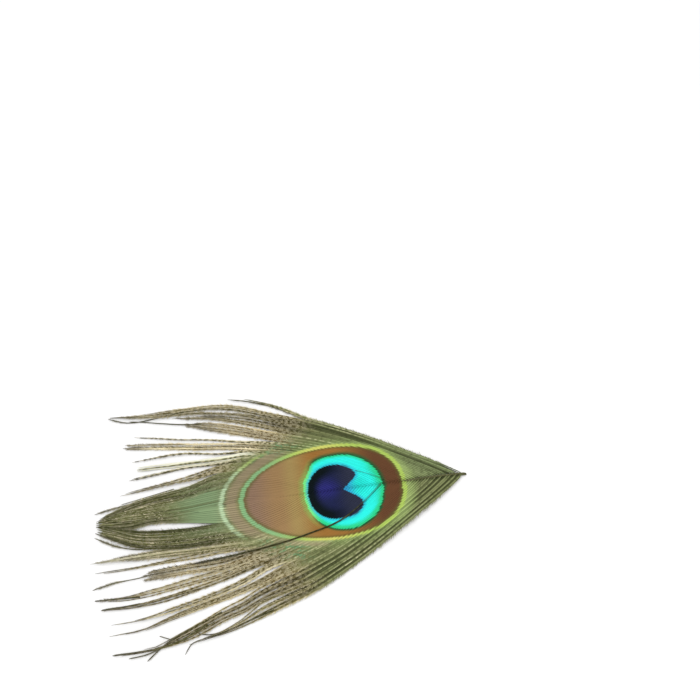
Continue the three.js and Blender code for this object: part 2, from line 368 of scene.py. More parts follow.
class FeatherColours(bpy.types.PropertyGroup):
    """Colours of the eye, from its heart outwards, of the vane and of the shaft."""

    heart: colour("Heart", "Middle of the eye", 0x1B2145)
    heart_lobes: colour("Heart lobes", "Lobes of the heart", 0x2A2E40)
    heart_glow: colour("Heart glow", "Violet middle of the heart", 0x2A2A70)
    heart_rim: colour("Heart rim", "Far edge of the heart", 0x030F0C)
    ring: colour("Ring", "Ring round the heart", 0x2CE8DC)
    ring_notch: colour("Ring notch", "Ring in the heart's notch", 0x2F9ACB)
    # The deeper teal beside the notch is partly the ring's own colour, partly painted shade of the
    # stray barbs that cross it.
    ring_inner_and_shade: colour("Inner ring", "Deeper ring by the notch", 0x06B8A8)
    ring_edge: colour("Ring edge", "Outer part of the ring", 0x2CC884)
    ring_far: colour("Ring far edge", "Ring's edge beyond the heart", 0x74DE80)
    ring_border: colour("Ring border", "Line round the ring", 0x1F5430)
    ring_beyond: colour("Beyond the ring", "Olive past its far edge", 0x84A050)
    bronze_near: colour("Near bronze", "Bronze next to the base", 0x603F28)
    bronze_side: colour("Side bronze", "Bronze beside the ring", 0x926731)
    bronze_middle: colour("Middle bronze", "Bronze past the ring", 0x998250)
    bronze_beyond: colour("Bronze beyond", "Bronze before its far end", 0x93754F)
    bronze_far: colour("Far bronze", "Bronze at the far end", 0x866C58)
    bronze_rim: colour("Bronze rim", "Olive rim of the bronze", 0x5E5A2E)
    band: colour("Band", "Yellow-green band round the eye", 0xA6C05C)
    band_side: colour("Band sides", "Pale sides of the band", 0xC4C566)
    band_far: colour("Band far end", "Mint end of the band", 0x80AA78)
    band_shadow: colour("Band shadow", "Dark line outside the far band", 0x66703A)
    halo: colour("Halo", "Glow outside the band", 0x9CB06C)
    outer_brown: colour("Outer brown", "Brown beyond the band", 0x8A7E62)
    pale_line: colour("Pale line", "Broken line round the eye's end", 0xA9BF99)
    pale_line_ends: colour("Pale line ends", "Where it runs out at the sides", 0x9FB468)
    far_web: colour("Far web", "Smooth vane beyond the eye", 0x778C66)
    web: colour("Web", "Vane round the eye", 0x747A50)
    web_base: colour("Base of the web", "Greener web next to the cut end", 0x829264)
    web_light: colour("Light web", "Light barbs of the vane", 0x979A72)
    web_green: colour("Green web", "Vane next to the band", 0x82945A)
    web_dark: colour("Dark web", "Dark barbs of the vane", 0x33381A)
    mauve_web: colour("Mauve web", "Vane below the band", 0x988A6E)
    green_flecks: colour("Green flecks", "Flecks round the far end of the eye", 0x548A60)
    crests: colour("Crests", "Cream light along some barbs of the vane", 0xD2CCA4)
    fringe: colour("Fringe", "Barbules on the rim of the vane", 0xA4A67E)
    loose: colour("Loose barbs", "Olive loose barbs", 0x83875A)
    gold: colour("Golden barbs", "Golden loose barbs", 0xB8A270)
    core: colour("Core", "Dark core of an olive barb", 0x3A3E1A)
    core_golden: colour("Golden core", "Dark core of a golden barb", 0x483A1C)
    barbule_ends: colour("Barbule ends", "Ends of the barbules", 0xDCD2B2)
    bare_gaps: colour("Bare gaps", "Barb where its barbules are missing", 0xCFC5A4)
    bleached: colour("Bleached", "Palest olive barbs", 0xCFD0C2)
    bleached_golden: colour("Bleached gold", "Palest golden barbs", 0xCFC29C)
    cream_flecks: colour("Cream flecks", "Light flecks on loose barbs", 0xDCD0B0)
    brown_flecks: colour("Brown flecks", "Dark flecks on loose barbs", 0x594A26)
    tips: colour("Tips", "Ends of the loose barbs", 0x69655A)
    underside: colour("Underside", "Lower face of the vane", 0x6F664C)
    shaft: colour("Shaft", "Top of the shaft", 0x53532F)
    shaft_light: colour("Light shaft", "Light streaks of the shaft", 0x77754F)
    shaft_dark: colour("Dark shaft", "Dark streaks of the shaft", 0x4A4626)
    pith: colour("Pith", "Cut end of the shaft", 0xD9D2B4)


# The stage, in metres, and the width of the camera's sensor, in millimetres.
FLOOR_HALF = 3.0
FLOOR_ROUGHNESS = 0.9
LAMP_SIZE = 1.2
LAMP_PLACE = (-0.2, -0.25, 1.1)
SENSOR_WIDTH = 36
CLIP = (0.01, 10)


class StageSettings(bpy.types.PropertyGroup):
    """Floor, light and camera."""

    floor: bpy.props.FloatProperty(
        name="Floor",
        description="Brightness of the floor, from 0 to 1",
        default=0.95,
        min=0,
        max=1,
        subtype="FACTOR",
    )
    sky: bpy.props.FloatProperty(
        name="Surrounding light",
        description="Strength of the even light from all round",
        default=0.8,
    )
    key: bpy.props.FloatProperty(
        name="Key light",
        description="Power of the large lamp over the feather",
        default=6.5,
        unit="POWER",
    )
    camera_place: bpy.props.FloatVectorProperty(
        name="Camera place",
        description="Where the camera stands",
        default=(0.00082, -0.12083, 0.218),
        subtype="TRANSLATION",
        unit="LENGTH",
        size=3,
    )
    camera_azimuth: bpy.props.FloatProperty(
        name="Camera azimuth",
        description="Turn of the view to the right of +Y",
        default=math.radians(9),
        subtype="ANGLE",
    )
    camera_elevation: bpy.props.FloatProperty(
        name="Camera elevation",
        description="How steeply the camera looks down",
        default=math.radians(51),
        subtype="ANGLE",
    )
    lens: bpy.props.FloatProperty(
        name="Focal length",
        description="Focal length for a 36 mm wide sensor, in millimetres",
        default=42.17,
    )


# Shape of the feather.


def rise(low, high, value):
    """0 below low, 1 above high and smooth in between."""
    share = np.clip((value - low) / (high - low), 0, 1)
    return share * share * (3 - 2 * share)


def mixed(start, end, share):
    return start + (end - start) * share


def shaft_radius(along):
    return mixed(SHAFT_ROOT_RADIUS, SHAFT_TIP_RADIUS, along / SHAFT_LENGTH)


def shaft_flatness(along):
    """Height of the shaft in parts of its width."""
    return mixed(1, SHAFT_FLATTENED, rise(12, SHAFT_COVERED, along))


def covered(root):
    """0 where the shaft lies bare between the barbs and 1 where they cover it."""
    return rise(SHAFT_COVERED - COVERING, SHAFT_COVERED + COVERING, root)


def dome_height(along, across):
    lengthwise = 1 - ((along - DOME_CENTRE) / DOME_HALF_LENGTH) ** 2
    widthwise = 1 - (across / DOME_HALF_WIDTH) ** 2
    return DOME_RISE * np.maximum(lengthwise, 0) * np.maximum(widthwise, 0)


def fan_distance(root, along):
    """Distance across of the barb rooted at root while it holds together with its neighbours."""
    run = along - root
    far_slope = OUTER_SLOPE * math.exp(-((root / OUTER_ROOTS) ** 2))
    bend = STRAIGHTENING * (1 - (root / STRAIGHTENING_END) ** STRAIGHTENING_POWER)
    root_slope = ROOT_SLOPE * (1 - (root / SHAFT_LENGTH) ** LAST_ROOTS_POWER)
    spread = (root_slope - far_slope) * bend * (1 - np.exp(-run / bend))
    return shaft_radius(root) + GAP + far_slope * run + spread


def curve_at(stations, along):
    """Distance across and width on a smooth curve through stations [along, across, width]."""
    knots = np.array(stations, float)
    end = np.clip(np.searchsorted(knots[:, 0], along), 1, len(knots) - 1)
    start = end - 1
    before = np.maximum(end - 2, 0)
    after = np.minimum(end + 1, len(knots) - 1)
    step = knots[end, 0] - knots[start, 0]
    t = (along - knots[start, 0]) / step
    slope_in = (knots[end, 1] - knots[before, 1]) / (knots[end, 0] - knots[before, 0])
    slope_out = (knots[after, 1] - knots[start, 1]) / (knots[after, 0] - knots[start, 0])
    across = (
        (2 * t**3 - 3 * t**2 + 1) * knots[start, 1]
        + (t**3 - 2 * t**2 + t) * step * slope_in
        + (3 * t**2 - 2 * t**3) * knots[end, 1]
        + (t**3 - t**2) * step * slope_out
    )
    return across, mixed(knots[start, 2], knots[end, 2], np.clip(t, 0, 1))


def lock_course(lock, along):
    """Middle and width of a lock past where it parts from its neighbours."""
    outer = fan_distance(lock.roots[0], lock.parts)
    inner = fan_distance(lock.roots[1], lock.parts)
    parting = (lock.parts, (outer + inner) / 2, outer - inner)
    return curve_at((parting, *lock.path), along)


def waves(random, along, length, count=3):
    """A smooth random wander from -1 to 1 whose shortest wave has about this length."""
    total = np.zeros_like(along)
    for octave in range(1, count + 1):
        phase = random.uniform(0, 2 * math.pi)
        stretch = random.uniform(0.8, 1.3)
        total += np.sin(2 * math.pi * along / (length * octave * stretch) + phase)
    return total / count


def web_distance(root, along, side):
    """Distance across in the web: the barbs start at the shaft and, past its end, at its line."""
    start = mixed(BESIDE_SHAFT, ACROSS_LINE, covered(root))
    near_root = np.exp(-np.maximum(along - root, 0) / ROOT_FADE)
    closing = mixed(near_root, 1 - rise(*CLOSING_END, along), rise(*CLOSING_ROOTS, root))
    distance = fan_distance(root, along) - (shaft_radius(root) + GAP - start) * closing
    narrowing, reach = BASE_NARROWING_UPPER if side > 0 else BASE_NARROWING_LOWER
    return distance * (1 - narrowing * np.exp(-((along / reach) ** 2)))


def beading(along, jitter, sine):
    """0 where a barb's barbules are missing and 1 where they stand, for numbers or for values."""
    uneven = sine(along * 0.9 + jitter * 60) * 1.6 + sine(along * 0.37 - jitter * 40) * 2
    return sine(along * (2 * math.pi / BEAD_LENGTH) + uneven + jitter * 90) * 0.5 + 0.5


class Strand:
    """The line of one barb and what its shape and colour need along it."""

    def line(self):
        """Points of the barb in the frame, in millimetres."""
        x = SHAFT_HIGH.x - self.along
        y = (SHAFT_LOW.y + SHAFT_HIGH.y) / 2 + self.side * self.across
        return np.stack([x, y, self.height], axis=1)

    def fields(self):
        """Colour coordinates: along, signed across, jitter; tone, looseness, tip."""
        return np.stack(
            [
                self.along,
                self.side * self.across,
                np.full_like(self.along, self.jitter),
                self.tone,
                self.loose,
                rise(self.tip - 14, self.tip, self.along),
            ],
            axis=1,
        )


class Barb(Strand):
    """A barb that starts in the web and goes on in its lock."""

    def __init__(self, lock, side, index, count, random, spacing):
        share = (index + 0.5) / count
        root = mixed(*lock.roots, share)
        short = lock.ragged * random.uniform(0, 1) ** 1.4 if index != count // 2 else 0
        self.lock = lock
        self.side = side
        self.root = root
        self.tip = lock.path[-1][0] - short
        self.along = mixed(root, self.tip, np.linspace(0, 1, BARB_STEPS) ** 1.15)
        along = self.along

        parted = rise(lock.parts - PARTING, lock.parts + PARTING, along)
        middle, width = lock_course(lock, along)
        width = width + TUFT_SPREAD * rise(*TUFT_ROOTS, root) * (1 - rise(*TUFT_END, along))
        strand = (math.floor(share * lock.strands) + 0.5) / lock.strands
        inside = index not in (0, count // 2, count - 1)
        filler = lock.gold > 0.45 and inside and random.uniform(0, 1) < FILLERS
        loosely = rise(0.1, 0.4, lock.gold)
        apart = 1 if filler else mixed(0.8, 0.4, loosely)
        clumped = mixed(strand, share, apart) + random.normal(0, mixed(0.03, 0.07, loosely))
        inward = mixed(share, clumped, rise(lock.opens + 2, lock.opens + SETTLING, along))
        locked = middle + (0.5 - inward) * width
        across = mixed(web_distance(root, along, side), locked, parted)
        self.opened = rise(lock.opens, lock.opens + OPENING, along + random.normal(0, 1.5))
        wander = WANDER * rise(lock.opens, lock.opens + 35, along)
        self.across = across + wander * waves(random, along, 24, 2)

        web = dome_height(along, self.across) + WEB_HEIGHT
        under_top = shaft_radius(root) * (2 * shaft_flatness(root) - 0.65)
        at_root = dome_height(root, 0) + mixed(under_top, WEB_HEIGHT + 0.1, covered(root))
        web = mixed(web, at_root, np.exp(-(along - root) / ROOT_FADE))
        layer = random.uniform(*LAYERS) + 0.35 * rise(30, 42, root)
        resting = np.maximum(layer + 0.2 * waves(random, along, 12), LOWEST_BARB)
        self.height = mixed(web, resting, rise(lock.opens - 4, lock.opens + SETTLING, along))

        near = web_distance(root - spacing / 2, along, side)
        far = web_distance(root + spacing / 2, along, side)
        slope = np.gradient(self.across, along)
        gap = mixed(near - far, width / count, parted) / np.sqrt(1 + slope**2)
        self.web_width = gap * (1 + WEB_OVERLAP) + 0.1
        if side > 0 and root < 3:
            self.web_width *= mixed(0.4, 1, rise(4, 12, along))
        self.jitter = random.normal(0, 0.09)
        self.loose = rise(lock.opens - 8, lock.opens + 12, along)
        self.tone = self.shading(random, index, filler)
        self.fluffy_from = lock.opens - 3
        self.thickness = mixed(1.5, 1, loosely)

    def shading(self, random, index, filler):
        """How light or dark the barb is along its length: every other one is a dark line."""
        along, root, opens = self.along, self.root, self.lock.opens
        stripes = random.uniform(*(DARK_STRIPES if index % 2 else LIGHT_STRIPES))
        at_rim = 0.95 if self.side < 0 else mixed(0.2, 0.7, rise(18, 34, along))
        lined = mixed(0.3, at_rim, 1 - rise(7, 15, root))
        lined = np.maximum(lined, 0.65 * rise(26, 36, along) * (1 - rise(28, 34, root)))
        lined = np.maximum(lined, 0.8 * rise(opens, opens + 15, along))
        if self.lock.shade >= 1:
            lined = 0.2
        uneven = mixed(0.22, 0.5, rise(opens, opens + 10, along)) * random.normal(0, 1)
        tone = lined * stripes + uneven + 0.25 * waves(random, along, 14)
        tone += self.lock.shade * rise(opens - 5, opens + 10, along)
        tone += 1.3 * filler * rise(opens + 2, opens + 18, along)
        if self.side > 0:
            tone -= 1.3 * math.exp(-(((root - DARK_ROOT) / 0.9) ** 2))
            tone += 0.3 * (1 - rise(1, 3, root)) * (1 - 4 * (1 - rise(6, 14, along)))
        else:
            tone -= 0.3 * (1 - rise(2, 6, root)) * (1 - self.opened)
            tone += 0.8 * rise(38, 48, along) * rise(12, 20, root) * (1 - self.loose) ** 2
        return tone


class Stray(Strand):
    """A barb out of its lock, by a path of its own: [along, across] from its start to its tip."""

    def __init__(self, side, random, lift, thickness, tone, fluffy_from, path):
        stations = [(along, across, 0) for along, across in path]
        self.lock = STRAY_LOCK
        self.side = side
        self.root = path[0][0]
        self.tip = path[-1][0]
        self.along = np.linspace(self.root, self.tip, BARB_STEPS)
        self.across = curve_at(stations, self.along)[0]
        web = dome_height(self.along, self.across) + WEB_HEIGHT
        resting = 0.3 + 0.1 * waves(random, self.along, 12)
        self.height = mixed(web, resting, rise(60, 80, self.along)) + lift
        self.opened = np.ones_like(self.along)
        self.loose = mixed(0.5, 1, rise(30, 44, self.along))
        self.web_width = self.opened
        self.jitter = 0.0
        self.tone = tone + 0.2 * waves(random, self.along, 14)
        self.fluffy_from = fluffy_from
        self.thickness = thickness


def woven(fields, lock, crosswise):
    """Colour coordinates with three more: the lock's beads, how far crosswise, and its gold."""
    rest = np.empty((len(fields), 3))
    rest[:, 0] = lock.beads
    rest[:, 1] = crosswise
    rest[:, 2] = lock.gold
    return np.hstack([fields, rest])


class Weave:
    """Gathers the triangles of one piece with their colour coordinates and bake map."""

    def __init__(self, lanes, start, end):
        self.lanes = lanes
        self.start = start
        self.end = end
        self.points = []
        self.faces = []
        self.maps = []
        self.fields = []
        self.smooth = []
        self.count = 0

    def bake_place(self, along, lane, share):
        """Where a point goes on the bake map: every barb has a lane of its own."""
        u = (along - self.start) / (self.end - self.start)
        v = (lane + share) / self.lanes
        return np.stack(np.broadcast_arrays(u, v), axis=-1)

    def add(self, points, faces, maps, fields, smooth):
        self.points.append(points)
        self.faces.append(faces + self.count)
        self.maps.append(maps)
        self.fields.append(fields)
        self.smooth.append(np.full(len(faces), smooth))
        self.count += len(points)

    def tube(self, rings, along, lane, fields, span, cap_step, cap_share):
        """A closed tube through rings of points, one for each of along. On the bake map it takes
        this span of its lane's width, and its caps' corners stand these steps apart."""
        count, sides = rings.shape[:2]
        step, turn = np.meshgrid(np.arange(count - 1), np.arange(sides), indexing="ij")
        step, turn = step.ravel(), turn.ravel()
        here, there = step * sides, (step + 1) * sides
        following = (turn + 1) % sides
        corners = np.stack([here + turn, there + turn, there + following, here + following], 1)
        steps = np.stack([step, step + 1, step + 1, step], 1)
        turns = np.stack([turn, turn, turn + 1, turn + 1], 1)
        halves = ([0, 1, 2], [0, 2, 3])
        faces = [corners[:, half] for half in halves]
        share = LANE_MARGIN + span * turns / sides
        maps = [self.bake_place(along[steps[:, half]], lane, share[:, half]) for half in halves]
        fan = np.array([(0, k, k + 1) for k in range(1, sides - 1)])
        for cap, ring in ((fan, 0), (fan[:, ::-1], count - 1)):
            faces.append(cap + ring * sides)
            at = abs(along[ring] + cap_step * cap)
            maps.append(self.bake_place(at, lane, LANE_MARGIN + cap_share * cap))
        self.add(rings.reshape(-1, 3), np.concatenate(faces), np.concatenate(maps), fields, True)

    def ribbon(self, barb, lane, thickness):
        """The barb itself: wide and flat in the web, thin and round where it is loose."""
        line = barb.line()
        direction = np.gradient(line[:, :2], axis=0)
        direction /= np.linalg.norm(direction, axis=1, keepdims=True)
        sideways = np.stack([-direction[:, 1], direction[:, 0]], axis=1)
        taper = barb.thickness * mixed(1, 0.7, rise(barb.tip - 25, barb.tip, barb.along))
        width = mixed(barb.web_width, thickness * taper, barb.opened)
        height = mixed(WEB_CROWN, thickness * taper / 2, barb.opened)
        width[0] *= mixed(0.4, 1, covered(barb.root))
        width[-1] *= 0.3
        height[-1] *= 0.3
        offset = SECTION[:, 0] * width[:, None] / 2
        tilt = WEB_TILT * barb.side * (1 - barb.opened)
        ring = np.empty((len(line), len(SECTION), 3))
        ring[..., :2] = line[:, None, :2] + offset[..., None] * sideways[:, None]
        ring[..., 2] = line[:, None, 2] + SECTION[:, 1] * height[:, None] + tilt[:, None] * offset
        fields = np.repeat(barb.fields(), len(SECTION), axis=0)
        crosswise = np.tile(SECTION[:, 0], len(line)) * barb.side
        fields = woven(fields, barb.lock, crosswise)
        self.tube(ring, barb.along, lane, fields, BARB_SPAN, 0.05, 0.01)

    def barbules(self, barb, lane, sizes, random, outer_edge):
        """Barbules on both sides of the loose part, each a slim closed spike."""
        pitch = sizes.barbule_spacing / MM
        begin = barb.root + 1 if outer_edge else barb.fluffy_from
        for number, hand in enumerate((1, -1)):
            first = begin if not outer_edge or hand == -barb.side else barb.fluffy_from
            spots = np.arange(first, barb.tip - barb.lock.bare * random.uniform(0.5, 1), pitch)
            if not len(spots):
                continue
            spots = spots + random.uniform(-0.4, 0.4, len(spots)) * pitch
            table = np.hstack([barb.line(), barb.fields()])
            at = np.stack([np.interp(spots, barb.along, column) for column in table.T], axis=1)
            ahead = np.stack(
                [np.interp(spots + 0.5, barb.along, column) for column in table.T[:2]], axis=1
            )
            direction = ahead - at[:, :2]
            direction /= np.maximum(np.linalg.norm(direction, axis=1, keepdims=True), 1e-6)
            sideways = hand * np.stack([-direction[:, 1], direction[:, 0]], axis=1)
            if outer_edge:
                rim = barb.web_width * (1 - barb.opened) * 0.45
                at[:, :2] += sideways * np.interp(spots, barb.along, rim)[:, None]
            bead = rise(0.15, 0.75, beading(spots, barb.jitter, np.sin))
            beads = mixed(1 - barb.lock.beads, 1, bead)
            reach = sizes.barbule_length / MM * beads * random.uniform(0.75, 1.1, len(spots))
            fine = rise(3, 8, barb.lock.bare)
            thinning = rise(barb.tip - 8 - 20 * fine, barb.tip, spots)
            reach *= rise(first - 1, first + 9, spots) * mixed(1, 0.55 - 0.4 * fine, thinning)
            reach *= barb.lock.fluff
            if outer_edge:
                reach *= mixed(random.uniform(0.3, 1.3, len(spots)), 1, rise(30, 45, spots))
            lean = BARBULE_LEAN + random.normal(0, BARBULE_LEANS_BY, len(spots))
            forward = direction * (reach * np.cos(lean))[:, None]
            out = sideways * (reach * np.sin(lean))[:, None]
            half = direction * (sizes.barbule_width / MM / 2)
            points = np.empty((len(spots), 4, 3))
            points[:, :, :] = at[:, None, :3]
            points[:, 0, :2] -= half
            points[:, 1, :2] += half
            points[:, 2, 2] += BARBULE_DEPTH
            points[:, 3, :2] += forward + out
            points[:, 3, 2] += reach * random.uniform(-0.25, 0.2, len(spots))
            points[:, 3, 2] = np.maximum(points[:, 3, 2], LOWEST_BARBULE)
            spike = np.array([(1, 0, 3), (0, 2, 3), (2, 1, 3), (0, 1, 2)])
            if hand < 0:
                spike = spike[:, ::-1]
            faces = (np.arange(len(spots))[:, None, None] * 4 + spike).reshape(-1, 3)
            bake_along = spots[:, None] + np.array([-0.5, 0.5, 0, 0]) * pitch
            bake_share = BARBULE_LANES[number] + np.array([0, 0, 0.03, 0.2])
            corner_maps = self.bake_place(bake_along, lane, bake_share).reshape(-1, 2)
            maps = corner_maps[faces.ravel()].reshape(-1, 3, 2)
            fields = np.repeat(at[:, 3:], 4, axis=0)
            fields = woven(fields, barb.lock, np.tile(BARBULE_CROSSWISE, len(spots)))
            self.add(points.reshape(-1, 3), faces, maps, fields, False)

    def piece(self, name, material):
        """The gathered triangles as an object, with its attributes and bake map."""
        points = np.concatenate(self.points) * MM
        faces = np.concatenate(self.faces)
        fields = np.concatenate(self.fields)
        mesh = bpy.data.meshes.new(name)
        mesh.vertices.add(len(points))
        mesh.vertices.foreach_set("co", points.astype(np.float32).ravel())
        mesh.loops.add(faces.size)
        mesh.loops.foreach_set("vertex_index", faces.astype(np.int32).ravel())
        mesh.polygons.add(len(faces))
        mesh.polygons.foreach_set("loop_start", np.arange(0, faces.size, 3, dtype=np.int32))
        mesh.polygons.foreach_set("use_smooth", np.concatenate(self.smooth))
        mesh.update(calc_edges=True)
        for number, attribute in enumerate(("place", "growth", "weave")):
            values = fields[:, 3 * number : 3 * number + 3]
            layer = mesh.attributes.new(attribute, "FLOAT_VECTOR", "POINT")
            layer.data.foreach_set("vector", values.astype(np.float32).ravel())
        bake_map = mesh.uv_layers.new(name="OFBake")
        maps = np.clip(np.concatenate(self.maps), 0, 1)
        bake_map.data.foreach_set("uv", maps.astype(np.float32).ravel())
        mesh.materials.append(material)
        piece = bpy.data.objects.new(name, mesh)
        bpy.context.scene.collection.objects.link(piece)
        return piece


# Shaders.


def arithmetic(operation, reflected=False):
    """An operator for values that adds a Math node."""

    def operator(self, other):
        terms = (other, self) if reflected else (self, other)
        return self.maths(operation, *terms)

    return operator


class Value:
    """A number in a shader, held as the socket that gives it. Arithmetic adds Math nodes."""

    def __init__(self, shader, socket):
        self.shader = shader
        self.socket = socket

    def maths(self, operation, *terms):
        inputs = dict(enumerate(terms))
        node = self.shader.node("ShaderNodeMath", {"operation": operation}, inputs)
        return Value(self.shader, node.outputs[0])

    __add__ = arithmetic("ADD")
    __radd__ = arithmetic("ADD", reflected=True)
    __sub__ = arithmetic("SUBTRACT")
    __rsub__ = arithmetic("SUBTRACT", reflected=True)
    __mul__ = arithmetic("MULTIPLY")
    __rmul__ = arithmetic("MULTIPLY", reflected=True)
    __truediv__ = arithmetic("DIVIDE")
    __rtruediv__ = arithmetic("DIVIDE", reflected=True)
    __pow__ = arithmetic("POWER")

    def __neg__(self):
        return self * -1

    def __abs__(self):
        return self.maths("ABSOLUTE", self)

    def sine(self):
        return self.maths("SINE", self)

    def most(self, other):
        return self.maths("MAXIMUM", self, other)

    def rise(self, low, high):
        """0 below low, 1 above high and smooth in between."""
        settings = {"interpolation_type": "SMOOTHSTEP"}
        inputs = {"Value": self, "From Min": low, "From Max": high}
        node = self.shader.node("ShaderNodeMapRange", settings, inputs)
        return Value(self.shader, node.outputs[0])


class Shader:
    """A material and its nodes."""

    def __init__(self, name):
        self.material = bpy.data.materials.new(name)
        self.material.use_nodes = True
        self.tree = self.material.node_tree
        self.tree.nodes.clear()

    def node(self, kind, settings=None, inputs=None):
        """A node of this kind. Its settings are set first, then its sockets' values or links."""
        node = self.tree.nodes.new(kind)
        for key, value in (settings or {}).items():
            setattr(node, key, value)
        for key, value in (inputs or {}).items():
            if isinstance(value, Value):
                value = value.socket
            if isinstance(value, bpy.types.NodeSocket):
                self.tree.links.new(value, node.inputs[key])
            else:
                node.inputs[key].default_value = value
        return node

    def attribute(self, name):
        """The three numbers of a vector attribute."""
        source = self.node("ShaderNodeAttribute", {"attribute_name": name})
        split = self.node("ShaderNodeSeparateXYZ", None, {0: source.outputs["Vector"]})
        return [Value(self, output) for output in split.outputs]

    def noise(self, vector, scale, detail=2.0):
        """Noise from 0 to 1 over a vector socket."""
        inputs = {"Vector": vector, "Scale": scale, "Detail": detail}
        return Value(self, self.node("ShaderNodeTexNoise", None, inputs).outputs["Fac"])

    def vector(self, x, y, z):
        return self.node("ShaderNodeCombineXYZ", None, {0: x, 1: y, 2: z}).outputs[0]

    def mix(self, base, colour, mask):
        """base where mask is 0 and colour where it is 1."""
        inputs = {0: mask, 6: self.paint(base), 7: self.paint(colour)}
        return self.node("ShaderNodeMix", {"data_type": "RGBA"}, inputs).outputs[2]

    def paint(self, colour):
        """A colour as a socket takes it: a socket as it is, three numbers with a fourth."""
        return colour if isinstance(colour, bpy.types.NodeSocket) else (*colour, 1)

    def coats(self, base, *coats):
        """base with coats over it, each a colour and the mask where it shows."""
        for colour, mask in coats:
            base = self.mix(base, colour, mask)
        return base

    def brighten(self, colour, factor):
        """A colour socket times a value."""
        inputs = {0: colour, 3: factor}
        return self.node("ShaderNodeVectorMath", {"operation": "SCALE"}, inputs).outputs[0]

    def finish(self, inputs):
        """Ends the material with a Principled shader that has these inputs."""
        shader = self.node("ShaderNodeBsdfPrincipled", None, inputs)
        self.node("ShaderNodeOutputMaterial", None, {"Surface": shader.outputs[0]})
        return self.material


# The eye's drawing, in places on the feather: (along, across) of the middle, near and far radius
# along the shaft and the radius across it. A mask's bounds are lengths, too, or parts of a radius.
EYE_MIDDLE = (40.2, 0.0)
HEART_MIDDLE = (40.2, -0.5)
RING_MIDDLE = (37.9, -0.6)
RING_RADII = (12.2, 11.9, 12.7)
RING_FAR_POWER = 2.75
EYE_NEAR_POWER = 2.25
HEART_RADII = (8.3, 8.3, 9.2)
CORNER_SLOPE = 1.9
CORNER_REACH = 26.65
NOTCH_APEX = (37.9, -0.3)
NOTCH_SLOPE = 1.2
BRONZE_RADII = (20.3, 27.5, 15.2)
BAND_RADII = (21.6, 28.9, 16.25)
PALE_RADII = (27.0, 34.2, 20.0)

# Finish: length of the fine lines that barbules make, relief, roughness and shine.
HERRINGBONE = 0.32
BUMP = 0.35
BUMP_DEPTH = 0.05 * MM
VANE_ROUGHNESS = 0.62
VANE_SHINE = 0.08
SHAFT_ROUGHNESS = 0.4
SHAFT_SHINE = 0.4


def egg(along, across, middle, radii, power=2.0):
    """1 on an egg-shaped outline and less inside it."""
    ahead = along - middle[0]
    lengthwise = ahead.most(0) / radii[1] + (-ahead).most(0) / radii[0]
    widthwise = abs(across - middle[1]) / radii[2]
    total = lengthwise**power + widthwise**power
    return total ** (1 / power)


def hypotenuse(x, y):
    return (x * x + y * y) ** 0.5


